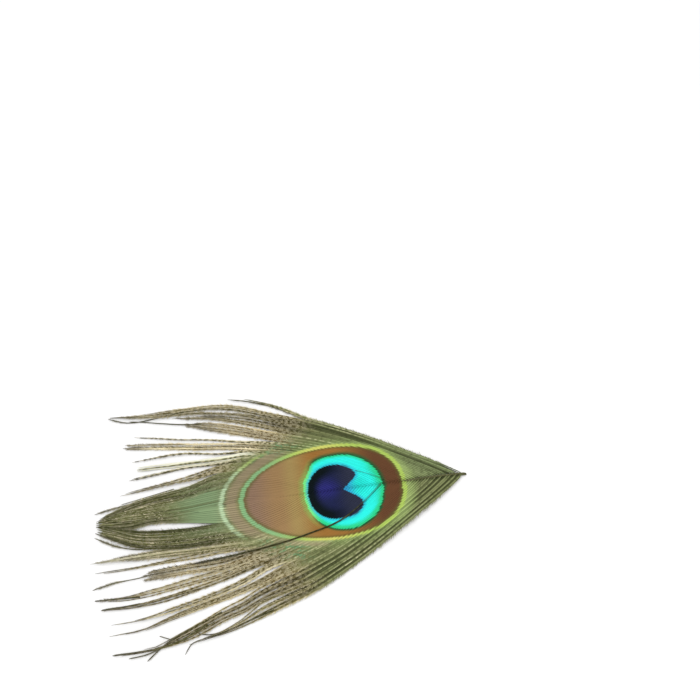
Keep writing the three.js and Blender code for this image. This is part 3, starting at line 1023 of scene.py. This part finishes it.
def vane_material(colours):
    """The vane: the eye's bands by place, olive web round it and golden loose barbs."""
    shader = Shader("feather_vane")
    along, across, jitter = shader.attribute("place")
    tone, loose, tip = shader.attribute("growth")
    beads, crosswise, gold = shader.attribute("weave")
    grain = shader.noise(shader.vector(along * 0.35, across * 1.6, 0), 1.0)
    streaks = shader.noise(shader.vector(along * 0.8, jitter * 30, across * 1.4), 1.0)
    spots = shader.noise(shader.vector(along * 0.7, jitter * 40, across * 0.8), 1.0)
    u = along + jitter + (grain - 0.5) * 0.4
    v = across + jitter * 0.3
    ahead = u - EYE_MIDDLE[0]
    far = ahead.rise(4, 26)
    lower = 1 - v.rise(-3, 0)
    rounding = 2.0 + (1 - ahead.rise(-8, 0)) * (EYE_NEAR_POWER - 2.0)
    band = egg(u, v - lower * (1 - far) * 0.35, EYE_MIDDLE, BAND_RADII, rounding)

    # Olive web: dark and light barbs, with mauve below the band and green flecks past it.
    # A dark line at one side of each barb, stronger on dark barbs: partly its ramus, partly painted
    # shade in the gap to the next barb.
    ramus_and_gap_shade = crosswise.rise(0.45, 0.85) * (0.45 + (-tone).rise(-0.4, 0.9) * 0.5)
    crest = (1 - abs(crosswise + 0.1).rise(0.1, 0.5)) * tone.rise(0, 0.7) * u.rise(24, 34)
    mauve = (1 - band.rise(1.05, 1.14)) * lower * u.rise(42, 48) * (1 - u.rise(56, 62))
    flecks = grain.rise(0.5, 0.62) * band.rise(1.04, 1.1) * (1 - band.rise(1.25, 1.42))
    web = shader.coats(
        colours.web,
        (colours.web_light, tone.rise(0.1, 1.2) * 0.7),
        (colours.web_green, (band - 1).rise(0.22, 0.0) * (1 - far) * 0.75),
        (colours.web_base, (1 - u.rise(12, 26)) * v.rise(-2, 2) * 0.6),
        (colours.web_dark, (-tone - 0.15).rise(0, 1.1) * 0.72),
        (colours.web_dark, (0.5 - streaks).rise(0, 0.16) * 0.4),
        (colours.fringe, crosswise.rise(1.1, 1.7) * 0.7),
        (colours.web_dark, ramus_and_gap_shade * (1 - crosswise.rise(1, 1.1))),
        (colours.crests, crest * streaks.rise(0.42, 0.6) * 0.6),
        (colours.mauve_web, mauve * 0.65),
        (colours.green_flecks, flecks * u.rise(48, 54) * (1 - u.rise(60, 66)) * 0.8),
    )

    # Past the eye: sage towards the tuft, brown next to the band, and a broken pale line.
    beyond = u.rise(70, 77) * (1 - abs(v).rise(6, 12)) * (1 - u.rise(80, 94))
    outline = egg(u, v, EYE_MIDDLE, PALE_RADII)
    past = ahead.rise(8, 22) * (1 - outline.rise(0.93, 0.985)) * v.rise(-14, -9)
    off_line = (outline - 0.995).most(0) / 0.035 + (0.995 - outline).most(0) / 0.026
    line = (1 - off_line.rise(0.2, 1)) * ahead.rise(16, 28) * v.rise(-13, -9)
    pale = shader.mix(colours.pale_line, colours.pale_line_ends, abs(v).rise(9, 14))
    web = shader.coats(
        web,
        (colours.far_web, beyond * tone.rise(-1.3, 0.1)),
        (colours.outer_brown, past * (1 - abs(v).rise(15, 18))),
        (pale, line * grain.rise(0.2, 0.5) * tone.rise(-1.8, -0.6)),
    )

    # Band, with its halo and its shadow, and the bronze inside it.
    stripe = shader.coats(
        colours.band,
        (colours.band_side, 1 - (abs(ahead - 3) / 11).rise(0, 1)),
        (colours.band_far, ahead.rise(8, 22)),
    )
    near = (-ahead).rise(13, 20) * (1 - v.rise(2, 7) * 0.7)
    glow = (1 - band.rise(1.0, 1.06 + near * 0.12)) * (1 - far)
    bronze = egg(u, v, EYE_MIDDLE, BRONZE_RADII, rounding)
    shade = shader.coats(
        colours.bronze_near,
        (colours.bronze_side, ahead.rise(-14, 0)),
        (colours.bronze_middle, ahead.rise(5, 13)),
        (colours.bronze_beyond, ahead.rise(12, 17)),
        (colours.bronze_far, ahead.rise(17, 25)),
        (colours.bronze_rim, bronze.rise(0.93, 0.995) * 0.75),
    )
    web = shader.coats(
        web,
        (colours.halo, glow * (0.4 + near * 0.4)),
        (colours.band_shadow, (1 - band.rise(1.0, 1.05)) * far * 0.6),
        (stripe, 1 - band.rise(0.985, 1.01)),
        (shade, 1 - bronze.rise(0.985, 1.01)),
    )

    # Ring: a dark line round it, wide and olive at the far side, then green to blue inwards.
    edge_far = (u - 45).rise(0, 4)
    power = 2.0 + (u - RING_MIDDLE[0]).rise(0, 4) * (RING_FAR_POWER - 2.0 - lower * 0.65)
    ring = egg(u, v, RING_MIDDLE, RING_RADII, power)
    corner = (u - RING_MIDDLE[0]) * CORNER_SLOPE + abs(v - RING_MIDDLE[1])
    ring = ring.most(corner / CORNER_REACH)
    border = (1 - ring.rise(1.0, 1.12 - lower * 0.06)) * (1 - edge_far)
    right_edge = ring.rise(0.7, 1.0) * (1 - (u - 28).rise(0, 6)) * (1 - abs(v - 1).rise(4, 9))
    # Beside the notch the ring gets deeper teal: partly its own colour, partly painted shade of the
    # stray barbs that cross it there.
    inner = (1 - abs(v - 0.5).rise(1, 4)) * u.rise(29, 33) * (1 - u.rise(34, 37))
    notch_reach = hypotenuse(u - NOTCH_APEX[0], v - NOTCH_APEX[1])
    aqua = shader.coats(
        colours.ring,
        (colours.ring_edge, (ring + lower * 0.04).rise(0.88, 0.99).most(right_edge)),
        (colours.ring_far, edge_far * ring.rise(0.8, 0.93)),
        (colours.ring_inner_and_shade, inner * 0.4),
        (colours.ring_notch, 1 - notch_reach.rise(0.5, 5.5)),
    )

    # Heart, with a violet middle and the notch that the ring fills.
    heart = egg(u, v, HEART_MIDDLE, HEART_RADII, 2.15 + (1 - ahead.rise(-5, 0)) * lower * 0.7)
    notch = (u - (NOTCH_APEX[0] - (NOTCH_SLOPE + lower * 0.2) * abs(v - NOTCH_APEX[1]))) * 0.67
    inside = heart.maths("SMOOTH_MIN", (1 - heart) * 8.5, notch, 3.5)
    violet = 1 - hypotenuse((u - 43) / 6.0, (v - 0.5) / 5.0).rise(0, 1)
    navy = shader.coats(
        colours.heart,
        (colours.heart_lobes, 1 - ahead.rise(-5, 1.5)),
        (colours.heart_glow, violet),
        (colours.heart_rim, heart.rise(0.5, 0.83) * ahead.rise(-5, 3) * 0.95),
    )
    web = shader.coats(
        web,
        (colours.ring_beyond, (1 - ring.rise(1.0, 1.16)) * edge_far * 0.85),
        (colours.ring_border, border),
        (aqua, 1 - ring.rise(0.97, 1.0)),
        (colours.ring_notch, inside.rise(-1.1, -0.1) * 0.55),
        (navy, inside.rise(-0.15, 0.25)),
    )

    # Loose barbs: olive to golden with a dark core, cream flecks and darker ends.
    gaps = beads * (1 - beading(along, jitter, Value.sine).rise(0.15, 0.75))
    in_core = 1 - (abs(crosswise) - loose * 1.1).rise(-0.3, 0.2)
    strand = shader.coats(
        colours.loose,
        (colours.gold, gold),
        (colours.cream_flecks, spots.rise(0.48, 0.62) * crosswise.rise(1, 1.5) * 0.85),
        (colours.brown_flecks, (1 - spots.rise(0.32, 0.44)) * gold.rise(0, 0.5) * 0.6),
        (colours.web_dark, (-tone).rise(0.1, 1.3) * 0.7),
        (colours.barbule_ends, crosswise.rise(1.22, 1.7) * (0.2 + gold * 0.7)),
        (
            shader.mix(colours.core, colours.core_golden, gold),
            in_core * (0.8 - tone.rise(0.6, 1.4) * 0.7),
        ),
        (colours.bare_gaps, gaps * 0.8),
        (
            shader.mix(colours.bleached, colours.bleached_golden, gold),
            (tone - (1 - gold) * 0.35).rise(0.6, 1.3) * 0.8,
        ),
        (colours.tips, tip * gold.rise(0.08, 0.25) * (0.8 - gaps * 0.7)),
    )
    vane = shader.mix(web, strand, loose.rise(0.2, 1) * (1 - beyond * 0.5))

    # Barbs differ a little in tone, barbules cross them as fine slanting lines, and each barb's
    # sides get painted shade where they meet its neighbours.
    in_eye = 1 - band.rise(0.97, 1.02)
    herringbone = ((along - abs(crosswise) * 0.25) * (2 * math.pi / HERRINGBONE)).sine()
    rough_tone = 1 + tone * (0.2 - in_eye * (1 - loose) * 0.15) + herringbone * 0.035
    # Painted shade: edge darkens the sides of each barb, less in the eye. The whole vane is then
    # lifted by a tenth, painted light against the shade that the barbs cast on one another.
    edge = 1 - abs(crosswise).rise(0.5, 1.05) * (0.16 - in_eye * 0.1) * (1 - loose)
    vane = shader.brighten(vane, rough_tone * edge * 1.1)

    # The underside is dull brown, with the pattern showing through faintly.
    geometry = shader.node("ShaderNodeNewGeometry")
    facing = shader.node("ShaderNodeSeparateXYZ", None, {0: geometry.outputs["True Normal"]})
    below = (-Value(shader, facing.outputs[2])).rise(0.0, 0.3)

    glossy = (1 - ring.rise(0.95, 1.0)) * (1 - loose)
    relief = {"Strength": BUMP, "Distance": BUMP_DEPTH, "Height": herringbone * 0.5 + grain}
    return shader.finish(
        {
            "Base Color": shader.mix(vane, colours.underside, below * 0.75),
            "Roughness": VANE_ROUGHNESS - glossy * 0.2 + (grain - 0.5) * 0.15,
            "Metallic": glossy * 0.25 + in_eye * 0.1,
            "Normal": shader.node("ShaderNodeBump", None, relief).outputs[0],
            "Specular IOR Level": VANE_SHINE,
        }
    )


def shaft_material(colours):
    """The shaft: olive brown and faintly streaked, with pale pith at the cut."""
    shader = Shader("feather_shaft")
    along, around, pith = shader.attribute("place")
    streaks = shader.noise(shader.vector(along * 0.2, around * 3, 0), 1.0, 4.0)
    skin = shader.coats(
        colours.shaft,
        (colours.shaft_light, streaks.rise(0.4, 0.75)),
        (colours.shaft_dark, (1 - streaks.rise(0.25, 0.45)) * 0.6),
        (colours.pith, pith),
    )
    return shader.finish(
        {
            "Base Color": skin,
            "Roughness": SHAFT_ROUGHNESS + streaks * 0.15,
            "Specular IOR Level": SHAFT_SHINE,
        }
    )


# Operators.


def lock_piece(name, lock, side, number, sizes, material):
    """One lock with all its barbs and barbules."""
    random = np.random.default_rng((sizes.seed, number, side + 1))
    strays = [stray[2:] for stray in STRAYS if stray[:2] == (side, number)]
    spacing = sizes.barb_spacing / MM
    count = max(round((lock.roots[1] - lock.roots[0]) / spacing), 1)
    barbs = [Barb(lock, side, index, count, random, spacing) for index in range(count)]
    barbs += [Stray(side, random, *stray) for stray in strays]
    end = max(barb.tip for barb in barbs)
    weave = Weave(len(barbs), lock.roots[0] - 0.5, end + 0.5)
    for lane, barb in enumerate(barbs):
        weave.ribbon(barb, lane, sizes.barb_width / MM)
        weave.barbules(barb, lane, sizes, random, number == 1 and lane == 0)
    return weave.piece(name, material)


def build_locks(locks, side, side_name, context):
    """Every lock of one side, each standing for its node of the frame."""
    sizes = context.scene.feather_sizes
    material = bpy.data.materials.get("feather_vane")
    if material is None:
        material = vane_material(context.scene.feather_colours)
    for number, lock in enumerate(locks, 1):
        node = f"{side_name}_lock_{number:02d}"
        piece = lock_piece(f"{node}_barbs", lock, side, number, sizes, material)
        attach(piece, "root")
        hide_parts(node)


class FEATHER_OT_shaft(bpy.types.Operator):
    """Build the shaft, with its slanting cut end"""

    bl_idname = "feather.shaft"
    bl_label = "Shaft"

    def execute(self, context):
        along = np.concatenate([[0, 0, 0], np.linspace(2, SHAFT_LENGTH, SHAFT_RINGS)])
        turn = np.arange(SHAFT_SIDES) * 2 * math.pi / SHAFT_SIDES
        radius = shaft_radius(along)
        radius[:2] *= CUT_RADII
        flat = shaft_flatness(along)
        middle = dome_height(along, 0) + shaft_radius(along) * flat
        rings = np.empty((len(along), SHAFT_SIDES, 3))
        rings[..., 0] = SHAFT_HIGH.x - along[:, None]
        ridge = 1 - RIDGE * rise(-0.1, 0.35, np.sin(turn))
        rings[..., 1] = (SHAFT_LOW.y + SHAFT_HIGH.y) / 2 + radius[:, None] * ridge * np.cos(turn)
        rings[..., 2] = middle[:, None] + (radius * flat)[:, None] * np.sin(turn)
        rings[0, :, 0] -= CUT_DEPTH
        slant = 1 + radius[:, None] / SHAFT_ROOT_RADIUS * np.cos(turn)
        rings[..., 0] -= CUT_SLANT * slant * (along < 0.01)[:, None]
        fields = np.zeros((len(along) * SHAFT_SIDES, 9))
        fields[:, 0] = np.repeat(along, SHAFT_SIDES)
        fields[:, 1] = np.tile(np.sin(turn), len(along))
        fields[: 2 * SHAFT_SIDES, 2] = 1
        weave = Weave(1, 0, SHAFT_LENGTH)
        weave.tube(rings, along, 0, fields, SHAFT_SPAN, -0.2, 0.05)
        shaft = weave.piece("shaft_rod", shaft_material(context.scene.feather_colours))
        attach(shaft, "root")
        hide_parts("shaft")
        return {"FINISHED"}


class FEATHER_OT_upper_locks(bpy.types.Operator):
    """Build the locks of barbs on the +Y side of the shaft"""

    bl_idname = "feather.upper_locks"
    bl_label = "Upper locks"

    def execute(self, context):
        build_locks(UPPER_LOCKS, 1, "upper", context)
        return {"FINISHED"}


class FEATHER_OT_lower_locks(bpy.types.Operator):
    """Build the locks of barbs on the -Y side of the shaft"""

    bl_idname = "feather.lower_locks"
    bl_label = "Lower locks"

    def execute(self, context):
        build_locks(LOWER_LOCKS, -1, "lower", context)
        return {"FINISHED"}


class FEATHER_OT_stage(bpy.types.Operator):
    """Build the floor, the light and the camera"""

    bl_idname = "feather.stage"
    bl_label = "Stage"

    def execute(self, context):
        settings = context.scene.feather_stage
        mesh = bpy.data.meshes.new("floor")
        signs = ((-1, -1), (1, -1), (1, 1), (-1, 1))
        corners = [(x * FLOOR_HALF, y * FLOOR_HALF, 0) for x, y in signs]
        mesh.from_pydata(corners, [], [(0, 1, 2, 3)])
        floor = bpy.data.objects.new("floor", mesh)
        context.scene.collection.objects.link(floor)
        shader = Shader("floor")
        paint = (settings.floor, settings.floor, settings.floor, 1)
        mesh.materials.append(shader.finish({"Base Color": paint, "Roughness": FLOOR_ROUGHNESS}))

        world = bpy.data.worlds.new("studio")
        world.use_nodes = True
        background = world.node_tree.nodes["Background"]
        background.inputs["Color"].default_value = (1, 1, 1, 1)
        background.inputs["Strength"].default_value = settings.sky
        context.scene.world = world

        lamp = bpy.data.lights.new("key", "AREA")
        lamp.size = LAMP_SIZE
        lamp.energy = settings.key
        key = bpy.data.objects.new("key", lamp)
        key.location = LAMP_PLACE
        key.rotation_mode = "QUATERNION"
        key.rotation_quaternion = (-key.location).to_track_quat("-Z", "Y")
        context.scene.collection.objects.link(key)

        lens = bpy.data.cameras.new("camera")
        lens.lens = settings.lens
        lens.sensor_width = SENSOR_WIDTH
        lens.clip_start, lens.clip_end = CLIP
        camera = bpy.data.objects.new("camera", lens)
        level = math.cos(settings.camera_elevation)
        direction = Vector(
            (
                math.sin(settings.camera_azimuth) * level,
                math.cos(settings.camera_azimuth) * level,
                -math.sin(settings.camera_elevation),
            )
        )
        camera.location = settings.camera_place
        camera.rotation_mode = "QUATERNION"
        camera.rotation_quaternion = direction.to_track_quat("-Z", "Y")
        context.scene.collection.objects.link(camera)
        context.scene.camera = camera
        context.scene.view_settings.view_transform = "Standard"
        return {"FINISHED"}


class FEATHER_PT_panel(bpy.types.Panel):
    """The feather's settings and operators"""

    bl_idname = "FEATHER_PT_panel"
    bl_label = "Peacock eye feather"
    bl_space_type = "VIEW_3D"
    bl_region_type = "UI"
    bl_category = "Feather"

    def draw(self, context):
        for group_name in GROUPS:
            group = getattr(context.scene, group_name)
            box = self.layout.box()
            for name in group.__annotations__:
                box.prop(group, name)
        for operator in OPERATORS:
            self.layout.operator(operator.bl_idname)


GROUPS = {
    "feather_sizes": FeatherSizes,
    "feather_colours": FeatherColours,
    "feather_stage": StageSettings,
}
OPERATORS = (
    FEATHER_OT_shaft,
    FEATHER_OT_upper_locks,
    FEATHER_OT_lower_locks,
    FEATHER_OT_stage,
)


def register():
    for cls in (*GROUPS.values(), *OPERATORS, FEATHER_PT_panel):
        bpy.utils.register_class(cls)
    for name, group in GROUPS.items():
        setattr(bpy.types.Scene, name, bpy.props.PointerProperty(type=group))


def unregister():
    for name in GROUPS:
        delattr(bpy.types.Scene, name)
    for cls in (FEATHER_PT_panel, *reversed(OPERATORS), *reversed(GROUPS.values())):
        bpy.utils.unregister_class(cls)


def main():
    register()
    bpy.ops.feather.shaft()
    bpy.ops.feather.upper_locks()
    bpy.ops.feather.lower_locks()
    bpy.ops.feather.stage()


if __name__ == "__main__":
    main()
